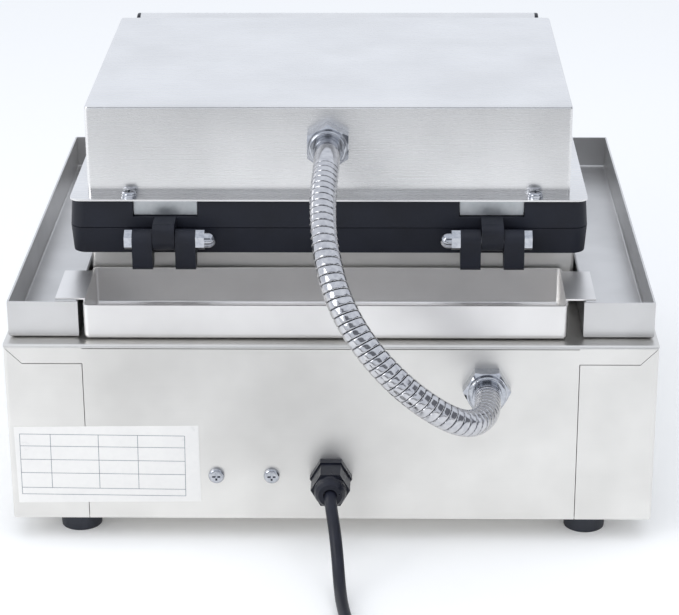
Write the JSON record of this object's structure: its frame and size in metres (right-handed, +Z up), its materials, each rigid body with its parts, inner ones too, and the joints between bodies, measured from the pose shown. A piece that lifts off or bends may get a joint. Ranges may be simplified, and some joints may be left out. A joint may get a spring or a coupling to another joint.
{
  "type": "waffle cone maker",
  "caption": "Stainless countertop waffle cone maker: hinged non-stick plates, U-shaped drip tray, rear trough, flexible metal conduit, bar handle, front temperature and time knobs, mains cord.",
  "frame": {"origin": "middle of the bounding box's base without the cord, on the table top", "axes": "+X operator's right, +Y from the operator to the rear where the conduit and cord leave, +Z up"},
  "size_m": [0.36, 0.5678, 0.237],
  "materials": {
    "stainless": "satin brushed",
    "galvanised": "matt zinc coat",
    "bright_steel": "polished",
    "black_casting": "matt non-stick coat",
    "element_steel": "heat darkened",
    "black_rubber": "matt",
    "black_nylon": "moulded",
    "knob_plastic": "moulded",
    "shaft_steel": "turned",
    "switch_plastic": "moulded",
    "dial_aluminium": "satin",
    "green_lens": "translucent",
    "amber_lens": "translucent",
    "white_film": "matt film",
    "fibre_blanket": "fibrous",
    "plug_brass": "nickel washed"
  },
  "bodies": {
    "base": {"right_side_panel": "stainless", "left_side_panel": "stainless", "top_panel": "stainless", "rear_panel": "stainless", "front_panel": "stainless", "bottom_plate": "galvanised", "rubber_feet": "black_rubber", "foot_screws": "bright_steel", "pedestal": "stainless", "plate_bolts": "bright_steel", "pedestal_screws": "bright_steel", "lower_plate": "black_casting", "lower_element": "element_steel", "hinge_bolts": "bright_steel", "hinge_cap_nuts": "bright_steel", "thermostat": "switch_plastic", "timer": "switch_plastic", "dial_plates": "dial_aluminium", "lamp_housings": "black_nylon", "power_lens": "green_lens", "heating_lens": "amber_lens", "sensor_bulb": "element_steel", "terminal_block": "switch_plastic", "terminal_screws": "bright_steel", "rating_plate": "white_film", "gland_body": "black_nylon", "gland_nut": "black_nylon", "gland_locknut": "black_nylon", "lower_conduit_nut": "bright_steel", "lower_conduit_ferrule": "bright_steel", "lower_conduit_locknut": "bright_steel", "flexible_conduit": "bright_steel", "power_cord": "black_rubber", "cord_coil": "black_rubber", "cord_tail": "black_rubber", "cord_tie": "black_nylon", "plug_body": "black_rubber", "plug_pins": "plug_brass"},
    "head": {"upper_plate": "black_casting", "upper_element": "element_steel", "heat_shield": "stainless", "insulation_blanket": "fibre_blanket", "top_cover": "stainless", "cover_screws": "bright_steel", "cover_washers": "bright_steel", "handle_tube": "stainless", "handle_end_plugs": "black_nylon", "handle_brackets": "stainless", "handle_screws": "bright_steel", "upper_conduit_nut": "bright_steel", "upper_conduit_ferrule": "bright_steel", "upper_conduit_locknut": "bright_steel"},
    "drip_tray": {"drip_tray": "stainless"},
    "rear_trough": {"rear_trough": "stainless"},
    "thermostat_control": {"thermostat_shaft": "shaft_steel", "thermostat_knob": "knob_plastic"},
    "timer_control": {"timer_shaft": "shaft_steel", "timer_knob": "knob_plastic"}
  },
  "joints": [
    {"name": "head_hinge", "type": "hinge", "parent": "base", "child": "head", "pos_m": [0, 0.0853, 0.1643], "axis": [-1, 0, 0], "range_deg": [0, 95], "deforming": ["flexible_conduit"]},
    {"name": "drip_tray_slide", "type": "slide", "parent": "base", "child": "drip_tray", "axis": [0, -1, 0], "range_m": [0, 0.29]},
    {"name": "rear_trough_slide", "type": "slide", "parent": "base", "child": "rear_trough", "axis": [0, 1, 0], "range_m": [0, 0.025]},
    {"name": "thermostat_turn", "type": "hinge", "parent": "base", "child": "thermostat_control", "pos_m": [0.082, -0.1857, 0.066], "axis": [0, 1, 0], "range_deg": [0, 300]},
    {"name": "timer_turn", "type": "hinge", "parent": "base", "child": "timer_control", "pos_m": [-0.082, -0.1857, 0.066], "axis": [0, 1, 0], "range_deg": [0, 300]}
  ]
}
